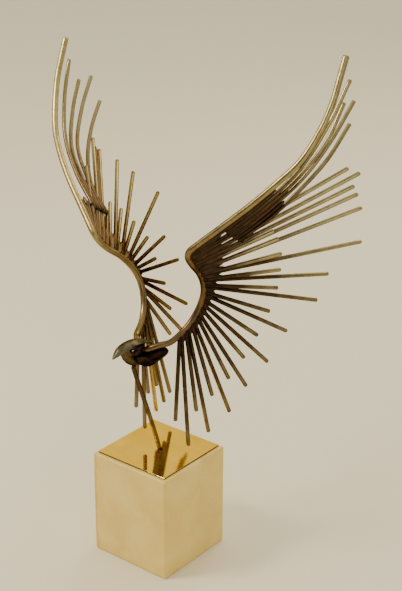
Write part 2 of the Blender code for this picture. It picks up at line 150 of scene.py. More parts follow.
# Weld metal at the foot: middle, direction, and half width and half length of each lump. It is cut
# off just above the plate
LEG_WELDS = (
    ((2.4, -0.5, PLATE_TOP + 0.9), (1, 0.2, 0), (1.1, 2.4)),
    ((0.1, 0.8, PLATE_TOP + 0.7), (0.5, 1, 0), (0.9, 1.7)),
)
LEG_WELD_UNEVEN = 0.15
LEG_WELD_TONE = 0.2
LEG_WELD_FLOOR = PLATE_TOP + 0.05

# How the rods are drawn: their sides, the height of their domed ends, how uneven they are, and how
# long the ripples in rods and in lumps of weld metal are
ARM_SIDES = 24
FEATHER_SIDES = 16
TIP_DOME = 1.6
ARM_UNEVEN = 0.05
FEATHER_UNEVEN = 0.03
ROD_WAVE = 5.0
LUMP_WAVE = 4.5

# How pale the wing rod is, from 0 to 1, at lengths from its tip
ARM_TONE_RUN = (0, 160, 260, 330, 440)
ARM_TONE = (1.0, 0.8, 0.55, 0.35, 0.5)
# How pale a feather gets at its tip, by its place in the fan, and the share of its length that this
# takes. The upper feathers' extra paleness at the tip is a painted highlight
TIP_TONE_PLACES = (3, 8, 12, 25)
TIP_TONE = (1.1, 1.0, 0.66, 0.58)
TIP_TONE_SHARE = 0.9
# How pale the primaries are at their start, and the length over which that rises by 1
PRIMARY_TONE = 0.15
PRIMARY_TONE_RUN = 190

# Brazing metal between neighbouring rods: the length of rod that can carry it at a root, and how
# far from the root each crotch is filled, beside the arm, beside the brazed rods, and by place in
# the fan
CROTCH_RUN = 64.0
ARM_REACH = 50.0
BRAZED_REACH = (36.0, 34.0, 30.0, 30.0)
FAN_REACH_PLACES = (3, 7, 10, 14, 25)
FAN_REACH = (30, 22, 14, 10, 9)
# The metal clings to the rods, so a crotch ends in a notch: share of the way across, and how much
# further the metal runs there
NOTCH = ((0.5, -2.0), (0.3, 4.0), (0.7, 4.0))
# How far the metal runs between one primary and the next, and beside the first one
LEFT_PRIMARY_REACH = (74.0, 78.0, 66.0)
RIGHT_PRIMARY_REACH = (50.0, 44.0, 26.0)
LEFT_BESIDE_REACH = 72.0
RIGHT_BESIDE_REACH = 14.0
# One more fillet all but closes the gap between the first two straight rods: share across, and reach
CLOSED_GAP = (0.68, 60.0)
# The right wing's two long straight rods are brazed together nearly to their tips
LONG_PAIR_SHARES = (0.35, 0.65)
LONG_PAIR_REACH = 170.0
# A fillet's ends taper over a share of its length, with no more than FILLET_TAPER_RUN counted
FILLET_RADIUS = 1.8
FILLET_SIDES = 10
FILLET_TAPER = 0.42
FILLET_TAPER_RUN = 22.0
FILLET_UNEVEN = 0.15
SEAM_RADIUS = 2.3
SEAM_SIDES = 14
SEAM_TAPER = 1.8
SEAM_UNEVEN = 0.3
BRAZE_TONE = 0.4
# Beads at the feathers' roots: their distance from the wing rod's middle, half width and half length
FEATHER_BEAD_OUT = 3.4
BRAZED_BEAD_OUT = 3.6
BEAD_SIZE = (2.35, 2.6)
BEAD_UNEVEN = 0.18
BEAD_TONE = 0.2

# Weld metal at the body: middle, direction, and half width and half length of each lump
BODY_WELDS = (
    # Where the two wing rods meet, and the right one lies on the shell's rim
    ((0.48, 1.2, 4.3), (1, 0.2, 0), (3.0, 4.2)),
    ((-8.2, 4.5, 2.2), (0, 1, 0), (1.3, 3.4)),
    # Leg to throat, and throat to shell
    ((0, -13.6, -8.0), (0, 1, 0.4), (2.2, 3.0)),
    ((0, -11.8, -4.6), (0, 0.2, 1), (1.5, 3.0)),
    # Cap to throat, on both sides
    ((4.2, -27, 16.5), (0, 1, 0), (1.0, 2.6)),
    ((-4.2, -27, 16.5), (0, 1, 0), (1.0, 2.6)),
    # The mass under the cap that ties cap, throat and wing rods together
    ((0.5, -8.5, 5.0), (0, 1, 0.1), (3.6, 6.5)),
    ((0.2, -16.0, 6.0), (0, 1, -0.5), (3.0, 6.0)),
    ((0, -22.5, 9.5), (0, 1, -1), (2.8, 5.0)),
    ((0.5, -4.0, 9.0), (0, 1, 0.2), (3.2, 6.5)),
    ((0, -20.5, 12.6), (0, 1, -0.4), (2.8, 5.6)),
    ((0, -12.0, 11.6), (0, 1, 0), (3.2, 6.0)),
)
BODY_WELD_UNEVEN = 0.2
BODY_WELD_TONE = 0.3

# The soft lamps: name, place, size, share of the lamp strength, and colour
LAMPS = (
    ("key lamp", (-0.9, -1.1, 1.7), 0.5, 1.0, "#FFF6E4"),
    ("fill lamp", (1.6, -0.9, 0.9), 1.0, 0.30, "#F4F1EA"),
    ("back lamp", (-0.2, 1.6, 1.6), 1.0, 0.5, "#FFF3DC"),
)
LAMP_TARGET = (0.0, 0.0, 0.3)
FLOOR_REACH = 40.0
# The room's light, and the way to its brightest side
ROOM_STRENGTH = 1.2
ROOM_BRIGHT = (-0.45, 0.60, 0.66)

# Where the photograph was taken from: the camera's place, and its turn, tilt and roll
CAMERA_PLACE = (0.84407, -0.98963, 0.85015)
CAMERA_YAW = 0.671536
CAMERA_PITCH = 0.399313
CAMERA_ROLL = 0.00422
CAMERA_LENS = 55.366


def linear(colour):
    """A hex sRGB colour as linear red, green, blue and alpha."""
    parts = np.array([int(colour[i:i + 2], 16) for i in (1, 3, 5)]) / 255
    curve = np.where(parts <= 0.04045, parts / 12.92, ((parts + 0.055) / 1.055) ** 2.4)
    return (*curve.tolist(), 1.0)


def unit(vector):
    """The vector, or each row of vectors, at length one."""
    vector = np.asarray(vector, float)
    return vector / np.linalg.norm(vector, axis=-1, keepdims=True)


def run_along(line):
    """The distance along a line at each of its points: the running sum of its steps."""
    return np.r_[0.0, np.cumsum(np.linalg.norm(np.diff(line, axis=0), axis=1))]


def smooth_route(points, steps):
    """Centripetal Catmull-Rom curve through the points, each span cut into equal steps."""
    points = np.asarray(points, float)
    padded = np.vstack([2 * points[0] - points[1], points, 2 * points[-1] - points[-2]])
    knots = np.r_[0.0, np.cumsum(np.linalg.norm(np.diff(padded, axis=0), axis=1) ** 0.5)]
    pieces = []
    for i in range(len(points) - 1):
        p0, p1, p2, p3 = padded[i:i + 4]
        t0, t1, t2, t3 = knots[i:i + 4]
        t = np.linspace(t1, t2, steps, endpoint=False)[:, None]
        a1 = (t1 - t) / (t1 - t0) * p0 + (t - t0) / (t1 - t0) * p1
        a2 = (t2 - t) / (t2 - t1) * p1 + (t - t1) / (t2 - t1) * p2
        a3 = (t3 - t) / (t3 - t2) * p2 + (t - t2) / (t3 - t2) * p3
        b1 = (t2 - t) / (t2 - t0) * a1 + (t - t0) / (t2 - t0) * a2
        b2 = (t3 - t) / (t3 - t1) * a2 + (t - t1) / (t3 - t1) * a3
        pieces.append((t2 - t) / (t2 - t1) * b1 + (t - t1) / (t2 - t1) * b2)
    return np.vstack(pieces + [points[-1:]])


def ripple(points, size, seed=0.0):
    """Even, repeatable unevenness: a sum of three crossed sine waves of that size, -1 to 1."""
    p = np.asarray(points) * (2 * math.pi / size)
    x, y, z = p[..., 0], p[..., 1], p[..., 2]
    a = np.sin(1.1 * x + 0.6 * y + 1.3 * z + seed)
    b = np.sin(-0.7 * x + 1.2 * y + 0.5 * z + 2.1 * seed + np.sin(0.9 * z + seed))
    c = np.sin(0.5 * x - 0.8 * y + 1.6 * z + 3.7 * seed + np.sin(1.3 * x))
    return (a + b + c) / 3


def to_world(points):
    """Points on the bird's own axes in millimetres, banked and lifted to their place in metres."""
    points = np.asarray(points, float)
    x, y, z = points[..., 0], points[..., 1], points[..., 2]
    cosine, sine = math.cos(BANK), math.sin(BANK)
    world = np.stack([
        x * cosine - z * sine,
        y - BODY_FORWARD,
        x * sine + z * cosine + PLATE_TOP + LEG_REACH,
    ], axis=-1)
    return world * MM


def new_piece(name, vertices, faces, material, age=None):
    """A smooth shaded mesh piece that rides on the object, with its age written on its points."""
    mesh = bpy.data.meshes.new(name)
    mesh.from_pydata(np.asarray(vertices).tolist(), [], faces)
    mesh.materials.append(material)
    mesh.shade_smooth()
    if age is not None:
        layer = mesh.attributes.new("age", "FLOAT", "POINT")
        layer.data.foreach_set("value", np.asarray(age, np.float32).ravel())
    piece = bpy.data.objects.new(name, mesh)
    bpy.context.scene.collection.objects.link(piece)
    return piece


def even_age(vertices, value):
    """The same age for every vertex."""
    return np.full(len(vertices), value)


def tube_faces(count, sides, start=0):
    """Quads between rings of a tube, and triangles to the two poles that follow the rings."""
    i, j = np.meshgrid(np.arange(count - 1), np.arange(sides), indexing="ij")
    k = (j + 1) % sides
    quads = np.stack([i * sides + j, i * sides + k, (i + 1) * sides + k, (i + 1) * sides + j], axis=-1)
    first = count * sides
    j = np.arange(sides)
    k = (j + 1) % sides
    last_ring = (count - 1) * sides
    caps = [np.stack([np.full(sides, first), k, j], axis=-1)]
    caps.append(np.stack([np.full(sides, first + 1), last_ring + j, last_ring + k], axis=-1))
    return (quads.reshape(-1, 4) + start).tolist() + (np.vstack(caps) + start).tolist()


def rod_mesh(line, radius, sides, dome, uneven=0.0, seed=0.0):
    """A round rod: circles carried square to the line, closed by part of a sphere at each end.

    The radius falls over the last stretch, the dome, as the square root of one minus the
    square of the share of the dome that is passed, and small ripples make it uneven.
    """
    line = np.asarray(line, float)
    run = run_along(line)
    inner = run[(run > 1.2 * dome) & (run < run[-1] - 1.2 * dome)]
    share = np.sin(np.linspace(0.12, 1.0, 6) * math.pi / 2)
    stations = np.r_[dome * (1 - share), inner, run[-1] - dome * (1 - share)]
    stations = np.sort(stations)
    centre = np.stack([np.interp(stations, run, line[:, i]) for i in range(3)], axis=1)
    tangent = unit(np.gradient(line, axis=0))
    tangent = unit(np.stack([np.interp(stations, run, tangent[:, i]) for i in range(3)], axis=1))
    inset = np.clip(1 - np.minimum(stations, run[-1] - stations) / dome, 0, 1)
    size = radius * np.sqrt(np.maximum(1 - inset ** 2, 0.02))
    hint = np.array((0.31, 1.0, 0.17))
    across = unit(np.cross(tangent, hint))
    up = np.cross(tangent, across)
    turn = np.linspace(0, 2 * math.pi, sides, endpoint=False)[None, :, None]
    out = np.cos(turn) * across[:, None] + np.sin(turn) * up[:, None]
    rings = centre[:, None] + size[:, None, None] * out
    if uneven:
        rings = rings + uneven * ripple(rings, ROD_WAVE, seed)[..., None] * out
    vertices = np.vstack([rings.reshape(-1, 3), line[0], line[-1]])
    return vertices, tube_faces(len(stations), sides), np.r_[np.repeat(stations, sides), 0.0, run[-1]]


def lump_mesh(centres, axes, radii, uneven):
    """Weld beads: spheres from a grid of latitude and longitude, stretched and made lumpy."""
    rows, sides = 7, 12
    lat = np.linspace(0, math.pi, rows + 2)[1:-1]
    lon = np.linspace(0, 2 * math.pi, sides, endpoint=False)
    ball = np.stack([
        np.sin(lat)[:, None] * np.cos(lon),
        np.sin(lat)[:, None] * np.sin(lon),
        np.cos(lat)[:, None] + 0 * lon,
    ], axis=-1).reshape(-1, 3)
    ball = np.vstack([ball, (0, 0, 1), (0, 0, -1)])
    vertices, faces = [], []
    for centre, axis, (wide, long) in zip(centres, axes, radii):
        along = unit(axis)
        across = unit(np.cross(along, (0.3, 0.9, 0.2)))
        up = np.cross(along, across)
        shape = ball[:, :1] * across * wide + ball[:, 1:2] * up * wide + ball[:, 2:] * along * long
        seed = float(np.sum(centre))
        grow = 1 + uneven * ripple(shape + np.asarray(centre), LUMP_WAVE, seed)[:, None]
        faces += [face[::-1] for face in tube_faces(rows, sides, sum(len(v) for v in vertices))]
        vertices.append(np.asarray(centre) + shape * grow)
    return np.vstack(vertices), faces


def sheet_mesh(outer, thickness):
    """A closed sheet: the grid, the grid again set in along its normals, and a rim of quads."""
    rows, columns = outer.shape[:2]
    normal = unit(np.cross(np.gradient(outer, axis=0), np.gradient(outer, axis=1)))
    inner = outer - thickness * normal
    vertices = np.vstack([outer.reshape(-1, 3), inner.reshape(-1, 3)])
    i, j = np.meshgrid(np.arange(rows - 1), np.arange(columns - 1), indexing="ij")
    a = (i * columns + j).ravel()
    b = a + columns
    shift = rows * columns
    top = np.stack([a, b, b + 1, a + 1], axis=1)
    under = np.stack([a, a + 1, b + 1, b], axis=1) + shift
    index = np.arange(shift).reshape(rows, columns)
    edge = np.r_[index[:, 0], index[-1, 1:], index[-2::-1, -1], index[0, -2:0:-1]]
    after = np.roll(edge, -1)
    rim = np.stack([after, edge, edge + shift, after + shift], axis=1)
    return vertices, np.vstack([top, under, rim]).tolist()


class WingRod:
    """The smooth centre line of one wing's rod, measured from the wrist, in millimetres."""

    SPAN_STEPS = 24

    def __init__(self, side):
        """Side is 1 for the left wing and -1 for the right."""
        self.side = side
        self.line = smooth_route(np.array(WING_ROUTE) * (side, 1, 1), self.SPAN_STEPS)
        run = run_along(self.line)
        self.station = run - run[WRIST * self.SPAN_STEPS]

    def point(self, station):
        """The centre line's point at a distance past the wrist."""
        return np.array([np.interp(station, self.station, self.line[:, i]) for i in range(3)]).T

    def tangent(self, station):
        """The centre line's direction there, towards the body."""
        return unit(self.point(station + 0.5) - self.point(station - 0.5))


def feather_line(rod, place, degrees, length, stagger=0.0):
    """Root, tip and direction of a straight feather: back, up by its angle, leaning outwards."""
    station = FIRST_FEATHER + place * FEATHER_SPACE
    slope = math.radians(degrees)
    lean = np.interp(place, LEAN_PLACES, LEAN)
    along = unit((rod.side * lean, math.cos(slope), math.sin(slope)))
    normal = unit(np.cross(rod.tangent(station), along))
    root = rod.point(station) + stagger * rod.side * normal
    return root, root + length * along, along


def primary_line(rod, points, trim):
    """Centre line of a bent primary; the right wing's lie on the fan's other face."""
    line = smooth_route(points, 12)
    run = run_along(line)
    if rod.side < 0:
        fade = np.clip(1 - run / FACE_FADE, 0, 1)
        line = line - 2 * FACE_STEP * fade[:, None] * unit(FAN_FACE)
        keep = run < run[-1] - trim
        end = [np.interp(run[-1] - trim, run, line[:, i]) for i in range(3)]
        line = np.vstack([line[keep], end])
    return line * (rod.side, 1, 1)


def node_of(tree, kind, settings=None, links=None):
    """Adds one shader node, sets its values and links its inputs."""
    node = tree.nodes.new(kind)
    for key, value in (settings or {}).items():
        if isinstance(key, str) and hasattr(node, key):
            setattr(node, key, value)
        else:
            node.inputs[key].default_value = value
    for key, source in (links or {}).items():
        tree.links.new(source, node.inputs[key])
    return node


def ramp_of(tree, source, stops, key="Color"):
    """A colour ramp over the source, with stops of place and hex colour."""
    ramp = node_of(tree, "ShaderNodeValToRGB", links={"Fac": source})
    elements = ramp.color_ramp.elements
    while len(elements) < len(stops):
        elements.new(0.5)
    for element, (place, colour) in zip(elements, stops):
        element.position = place
        element.color = linear(colour)
    return ramp.outputs[key]


def start_material(name):
    """An empty node material with its Principled shader."""
    material = bpy.data.materials.new(name)
    material.use_nodes = True
    return material, material.node_tree, material.node_tree.nodes["Principled BSDF"]


def mix_of(tree, factor, first, second, blend="MIX"):
    """Mixes two colours by a factor, each a socket or a value."""
    mix = node_of(tree, "ShaderNodeMix", {"data_type": "RGBA", "blend_type": blend})
    for index, value in ((0, factor), (6, first), (7, second)):
        if isinstance(value, bpy.types.NodeSocket):
            tree.links.new(value, mix.inputs[index])
        else:
            mix.inputs[index].default_value = value
    return mix.outputs[2]


def antiqued_brass(name, dark, middle, light, roughness, flush_share=0.2):
    """Drawn brass rod, toned brown with heat and chemicals, then rubbed back.

    The tone follows the age on each piece. On the feathers it is darkest where the torch worked, at the
    root, and pales towards the tip; the upper feathers' extra paleness at the tip and the leg's pale foot
    are painted highlights.
    Patches of copper colour come from the flux, and fine drawn scratches break the gloss.
    """
    material, tree, shader = start_material(name)
    place = node_of(tree, "ShaderNodeTexCoord").outputs["Object"]
    age = node_of(tree, "ShaderNodeAttribute", {"attribute_name": "age"}).outputs["Fac"]
    # Broad cloudy toning, some 12 mm across
    cloud = node_of(tree, "ShaderNodeTexNoise", {"Scale": 85.0, "Detail": 4.0, "Roughness": 0.6},
                    {"Vector": place})
    drift = node_of(tree, "ShaderNodeMath", {"operation": "MULTIPLY_ADD", 1: 0.55, 2: -0.27},
                    {0: cloud.outputs["Fac"]})
    tone = node_of(tree, "ShaderNodeMath", {"operation": "ADD", "use_clamp": True},
                   {0: age, 1: drift.outputs[0]})
    body = ramp_of(tree, tone.outputs[0], ((0.0, dark), (0.45, middle), (1.0, light)))
    # Coppery flush where the brazing heat ran
    flush = node_of(tree, "ShaderNodeTexNoise", {"Scale": 140.0, "Detail": 3.0}, {"Vector": place})
    flush_mask = node_of(tree, "ShaderNodeMapRange",
                         {"From Min": 0.50, "From Max": 0.74, "To Max": flush_share},
                         {"Value": flush.outputs["Fac"]})
    copper = mix_of(tree, flush_mask.outputs["Result"], body, linear("#7E5238"))
    # Dark specks left in the pits, about 1 mm across
    speck = node_of(tree, "ShaderNodeTexNoise", {"Scale": 900.0, "Detail": 2.0}, {"Vector": place})
    speck_mask = node_of(tree, "ShaderNodeMapRange", {"From Min": 0.60, "From Max": 0.75, "To Max": 0.5},
                         {"Value": speck.outputs["Fac"]})
    colour = mix_of(tree, speck_mask.outputs["Result"], copper, linear("#2B1D10"))
    tree.links.new(colour, shader.inputs["Base Color"])
    shader.inputs["Metallic"].default_value = 1.0
    shader.inputs["Specular Tint"].default_value = linear("#5C4A30")
    rough = node_of(tree, "ShaderNodeMapRange", {"To Min": roughness - 0.08, "To Max": roughness + 0.16},
                    {"Value": cloud.outputs["Fac"]})
    tree.links.new(rough.outputs["Result"], shader.inputs["Roughness"])
    # A drawn and handled surface, uneven by a few hundredths of a millimetre
    bump = node_of(tree, "ShaderNodeBump", {"Strength": 0.12, "Distance": 0.0002},
                   {"Height": speck.outputs["Fac"]})
    tree.links.new(bump.outputs["Normal"], shader.inputs["Normal"])
    return material


def hammered_sheet(name, dark, light, roughness):
    """Brass sheet beaten over a stake, toned dark, its high spots rubbed bright."""
    material, tree, shader = start_material(name)
    place = node_of(tree, "ShaderNodeTexCoord").outputs["Object"]
    # Hammer marks about 4 mm across
    marks = node_of(tree, "ShaderNodeTexVoronoi", {"Scale": 260.0, "feature": "SMOOTH_F1"},
                    {"Vector": place})
    cloud = node_of(tree, "ShaderNodeTexNoise", {"Scale": 150.0, "Detail": 5.0, "Roughness": 0.65},
                    {"Vector": place})
    colour = ramp_of(tree, cloud.outputs["Fac"], ((0.32, dark), (0.55, light), (0.75, dark)))
    tree.links.new(colour, shader.inputs["Base Color"])
    shader.inputs["Metallic"].default_value = 1.0
    shader.inputs["Specular Tint"].default_value = linear("#6A5A40")
    rough = node_of(tree, "ShaderNodeMapRange", {"To Min": roughness - 0.08, "To Max": roughness + 0.15},
                    {"Value": cloud.outputs["Fac"]})
    tree.links.new(rough.outputs["Result"], shader.inputs["Roughness"])
    bump = node_of(tree, "ShaderNodeBump", {"Strength": 0.5, "Distance": 0.0006},
                   {"Height": marks.outputs["Distance"]})
    tree.links.new(bump.outputs["Normal"], shader.inputs["Normal"])
    return material


def polished_plate(name):
    """Rolled brass plate, polished to a mirror, with hairlines and a little finger haze."""
    material, tree, shader = start_material(name)
    place = node_of(tree, "ShaderNodeTexCoord").outputs["Object"]
    haze = node_of(tree, "ShaderNodeTexNoise", {"Scale": 45.0, "Detail": 4.0}, {"Vector": place})
    colour = ramp_of(tree, haze.outputs["Fac"], ((0.3, "#EBBC46"), (0.7, "#F5CD5C")))
    # Faces that do not face up are painted dark: painted shade along the plate's edges
    facing = node_of(tree, "ShaderNodeSeparateXYZ",
                     links={"Vector": node_of(tree, "ShaderNodeNewGeometry").outputs["Normal"]})
    level = node_of(tree, "ShaderNodeMapRange", {"From Min": 0.5, "From Max": 0.8},
                    {"Value": facing.outputs["Z"]})
    tone = mix_of(tree, level.outputs["Result"], linear("#4E3C1E"), colour)
    tree.links.new(tone, shader.inputs["Base Color"])
    shader.inputs["Metallic"].default_value = 1.0
    shader.inputs["Specular Tint"].default_value = linear("#E2BC66")
    rough = node_of(tree, "ShaderNodeMapRange", {"To Min": 0.03, "To Max": 0.10},
                    {"Value": haze.outputs["Fac"]})
    tree.links.new(rough.outputs["Result"], shader.inputs["Roughness"])
    # Hairlines 0.4 mm wide, coarser than the real ones, so that they show
    stretch = node_of(tree, "ShaderNodeMapping", {"Scale": (40.0, 2500.0, 40.0)}, {"Vector": place})
    hair = node_of(tree, "ShaderNodeTexNoise", {"Scale": 1.0, "Detail": 2.0},
                   {"Vector": stretch.outputs["Vector"]})
    bump = node_of(tree, "ShaderNodeBump", {"Strength": 0.05, "Distance": 0.0001},
                   {"Height": hair.outputs["Fac"]})
    tree.links.new(bump.outputs["Normal"], shader.inputs["Normal"])
    return material


def honed_stone(name):
    """Honey-coloured alabaster, sawn and honed: cloudy, faintly banded, a little see-through."""
    material, tree, shader = start_material(name)
    place = node_of(tree, "ShaderNodeTexCoord").outputs["Object"]
    # Clouds some 40 mm across, bent by finer ones
    cloud = node_of(tree, "ShaderNodeTexNoise",
                    {"Scale": 22.0, "Detail": 6.0, "Roughness": 0.55, "Distortion": 0.6},
                    {"Vector": place})
    body = ramp_of(tree, cloud.outputs["Fac"], ((0.25, "#E0BE62"), (0.5, "#E9CC70"), (0.78, "#F2DB8C")))
    # Crystal grain between 1 and 2 mm across
    grain = node_of(tree, "ShaderNodeTexNoise", {"Scale": 700.0, "Detail": 3.0}, {"Vector": place})
    grain_mask = node_of(tree, "ShaderNodeMapRange", {"From Min": 0.35, "From Max": 0.75, "To Max": 0.22},
                         {"Value": grain.outputs["Fac"]})
    grained = mix_of(tree, grain_mask.outputs["Result"], body, linear("#CDA450"))
    # One faint rust vein down the left side
    parts = node_of(tree, "ShaderNodeSeparateXYZ", links={"Vector": place})
    wander = node_of(tree, "ShaderNodeTexNoise", {"Scale": 30.0, "Detail": 3.0}, {"Vector": place})
    bend = node_of(tree, "ShaderNodeMath", {"operation": "MULTIPLY_ADD", 1: 0.012, 2: 0.0405},
                   {0: wander.outputs["Fac"]})
    off = node_of(tree, "ShaderNodeMath", {"operation": "ADD"},
                  {0: parts.outputs["X"], 1: bend.outputs[0]})
    near = node_of(tree, "ShaderNodeMath", {"operation": "ABSOLUTE"}, {0: off.outputs[0]})
    vein = node_of(tree, "ShaderNodeMapRange",
                   {"From Min": 0.0, "From Max": 0.0022, "To Min": 0.5, "To Max": 0.0},
                   {"Value": near.outputs[0]})
    colour = mix_of(tree, vein.outputs["Result"], grained, linear("#C58A4C"))
    tree.links.new(colour, shader.inputs["Base Color"])
    shader.inputs["Subsurface Weight"].default_value = 0.12
    shader.inputs["Subsurface Radius"].default_value = (0.012, 0.008, 0.004)
    shader.inputs["Subsurface Scale"].default_value = 0.5
    rough = node_of(tree, "ShaderNodeMapRange", {"To Min": 0.34, "To Max": 0.55},
                    {"Value": cloud.outputs["Fac"]})
    tree.links.new(rough.outputs["Result"], shader.inputs["Roughness"])
    bump = node_of(tree, "ShaderNodeBump", {"Strength": 0.12, "Distance": 0.0003},
                   {"Height": grain.outputs["Fac"]})
    tree.links.new(bump.outputs["Normal"], shader.inputs["Normal"])
    return material


def painted_floor(name, colour):
    """Plain pale paper, with the faint mottling that paper has."""
    material, tree, shader = start_material(name)
    place = node_of(tree, "ShaderNodeTexCoord").outputs["Object"]
    fibre = node_of(tree, "ShaderNodeTexNoise", {"Scale": 9.0, "Detail": 5.0}, {"Vector": place})
    tint = mix_of(tree, 0.04, linear(colour), linear("#A89F88"))
    tone = mix_of(tree, fibre.outputs["Fac"], linear(colour), tint)
    tree.links.new(tone, shader.inputs["Base Color"])
    shader.inputs["Roughness"].default_value = 0.9
    return material


class BirdSettings(bpy.types.PropertyGroup):
    """Sizes and colours of the sculpture that a user would change."""

    wing_rod: bpy.props.FloatProperty(
        name="Wing rod", description="Diameter of the bent rod of each wing",
        default=0.0065, min=0.003, max=0.012, unit="LENGTH")
    feather: bpy.props.FloatProperty(
        name="Feather rod", description="Diameter of the feather rods",
        default=0.0044, min=0.002, max=0.008, unit="LENGTH")
    leg: bpy.props.FloatProperty(
        name="Leg rod", description="Diameter of the rod that carries the bird",
        default=0.0048, min=0.002, max=0.010, unit="LENGTH")
    sheet: bpy.props.FloatProperty(
        name="Sheet", description="Thickness of the beaten sheet",
        default=0.0013, min=0.0005, max=0.003, unit="LENGTH")
    lamp: bpy.props.FloatProperty(
        name="Lamp strength", description="Power of the soft key lamp in watts",
        default=24.0, min=1.0, max=500.0)
    floor: bpy.props.StringProperty(
        name="Floor colour", description="Hex colour of the paper under the sculpture",
        default="#EBE3C6")


class BRASSBIRD_OT_stand(bpy.types.Operator):
    """Gives the stone block and the brass plate their finish, and makes the leg"""

    bl_idname = "brassbird.stand"
    bl_label = "Stand and leg"

    def execute(self, context):
        settings = context.scene.brass_bird
        for node, material in (("stone_block", honed_stone("honed honey stone")),
                               ("brass_plate", polished_plate("polished plate"))):
            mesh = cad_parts[node].data
            mesh.materials.clear()
            mesh.materials.append(material)
        brass = antiqued_brass("leg brass", "#2A2018", "#5A4A32", "#A89764", 0.22)
        foot = np.array(LEG_FOOT)
        top = to_world(LEG_TOP) / MM
        share = np.linspace(0, 1, 24)[:, None]
        line = foot + (top - foot) * share
        # Bowed backwards, most in its lower half
        line[:, 1] += LEG_BOW * np.sin(math.pi * share[:, 0]) * (1 - share[:, 0])
        vertices, faces, run = rod_mesh(line, settings.leg / MM / 2, LEG_SIDES, TIP_DOME, LEG_UNEVEN)
        vertices[:, 2] = np.maximum(vertices[:, 2], foot[2])
        # The leg's paler foot is a painted highlight
        age = LEG_TONE - LEG_TONE_DROP * (run / run.max())
        leg = new_piece("leg", vertices * MM, faces, brass, age)
        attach(leg, "root")
        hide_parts("leg_rod")
        beads, bead_faces = lump_mesh(*zip(*LEG_WELDS), LEG_WELD_UNEVEN)
        beads[:, 2] = np.maximum(beads[:, 2], LEG_WELD_FLOOR)
        age = even_age(beads, LEG_WELD_TONE)
        weld = new_piece("leg_weld", beads * MM, bead_faces, weld_metal(), age)
        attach(weld, "root")
        return {"FINISHED"}


def weld_metal(painted_lit=False):
    """Brazing metal, dark where it was left alone, and a paler copy with painted light for the right
    wing.
    """
    if painted_lit:
        found = bpy.data.materials.get("wiped brazing metal")
        return found or antiqued_brass("wiped brazing metal", "#44362A", "#766448", "#9A8A62", 0.36, 0.15)
    found = bpy.data.materials.get("brazing metal")
    return found or antiqued_brass("brazing metal", "#221A14", "#42342A", "#6E5640", 0.42, 0.12)


def separate_feathers(rod, fan):
    """Place, length and line of each straight feather, alternately on one face and the other."""
    for place, (degrees, length) in enumerate(fan, FIRST_SEPARATE):
        stagger = FEATHER_STAGGER if place % 2 else -FEATHER_STAGGER
        yield place, length, feather_line(rod, place, degrees, length, stagger)


def straight(root, tip):
    """Evenly spaced points from root to tip."""
    return root + (tip - root) * np.linspace(0, 1, 28)[:, None]


def feather_mesh(settings, line, seed):
    """A feather's rod along a line, its unevenness set by the seed."""
    return rod_mesh(line, settings.feather / MM / 2, FEATHER_SIDES, TIP_DOME, FEATHER_UNEVEN, seed)


def joined(shapes):
    """Several rods' vertices, faces and runs, each as one list, the faces counted on."""
    vertices, faces, runs = zip(*shapes)
    starts = np.cumsum([0] + [len(own) for own in vertices]).tolist()
    faces = [[i + start for i in face] for own, start in zip(faces, starts) for face in own]
    return np.vstack(vertices), faces, np.concatenate(runs)


def wing_arm(settings, name, rod, brass):
    """The bent rod of the wing; the right wing's is a little shorter at its tip."""
    line = rod.line[::3]
    if rod.side < 0:
        run = run_along(line)
        start = [np.interp(RIGHT_ROD_TRIM, run, line[:, i]) for i in range(3)]
        line = np.vstack([start, line[run > RIGHT_ROD_TRIM + 0.4]])
    radius = settings.wing_rod / MM / 2
    vertices, faces, run = rod_mesh(line, radius, ARM_SIDES, TIP_DOME, ARM_UNEVEN, rod.side)
    age = np.interp(run, ARM_TONE_RUN, ARM_TONE)
    arm = new_piece(f"{name}_arm", to_world(vertices), faces, brass, age)
    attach(arm, "root")
    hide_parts(f"{name}_wing_rod")


def wing_feathers(settings, name, rod, fan, brass, palest):
    """The straight feathers that stand by themselves, paler from root to tip."""
    for place, length, (root, tip, _) in separate_feathers(rod, fan):
        vertices, faces, run = feather_mesh(settings, straight(root, tip), place)
        # The upper feathers' extra paleness at the tip is a painted highlight
        pale = np.interp(place, TIP_TONE_PLACES, TIP_TONE)
        age = np.clip(run / (TIP_TONE_SHARE * length), 0, 1) * pale
        bright = rod.side < 0 and place == PALEST_FEATHER
        feather = new_piece(f"{name}_plume_{place + 1:02d}", to_world(vertices), faces,
                            palest if bright else brass, age)
        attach(feather, "root")
        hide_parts(f"{name}_feather_{place + 1:02d}")


def wing_primaries(settings, name, rod, brazed, bent_lines, brass):
    """The bent primaries and the straight rods that carry them, as the one brazed piece they are."""
    shapes = []
    for place, degrees, length in brazed:
        root, tip, _ = feather_line(rod, place, degrees, length)
        shapes.append(feather_mesh(settings, straight(root, tip), place))
    shapes += [feather_mesh(settings, line, seed) for line, seed in zip(bent_lines, RIGHT_PRIMARY_TRIM)]
    vertices, faces, run = joined(shapes)
    age = np.clip(PRIMARY_TONE + run / PRIMARY_TONE_RUN, 0, 1)
    bent = new_piece(f"{name}_outer_plumes", to_world(vertices), faces, brass, age)
    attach(bent, "root")
    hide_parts(f"{name}_primaries")


def braze_seam(rod, brazed, bent_lines):
    """The seam over the primaries' ends, on the fan's face, carried to the last straight rod."""
    face = unit(FAN_FACE) * (rod.side, 1, 1)
    seam = [line[0] + SEAM_INSET * unit(line[1] - line[0]) - rod.side * FACE_STEP / 2 * face
            for line in bent_lines]
    seam[0] = seam[0] + SEAM_INSET * unit(seam[0] - seam[1])
    seam[-1] = seam[-1] + SEAM_INSET * unit(seam[-1] - seam[-2])
    root, _, along = feather_line(rod, *brazed[-1])
    seam.append(root + ((seam[-1] - root) @ along) * along)
    return smooth_route(seam, 8)


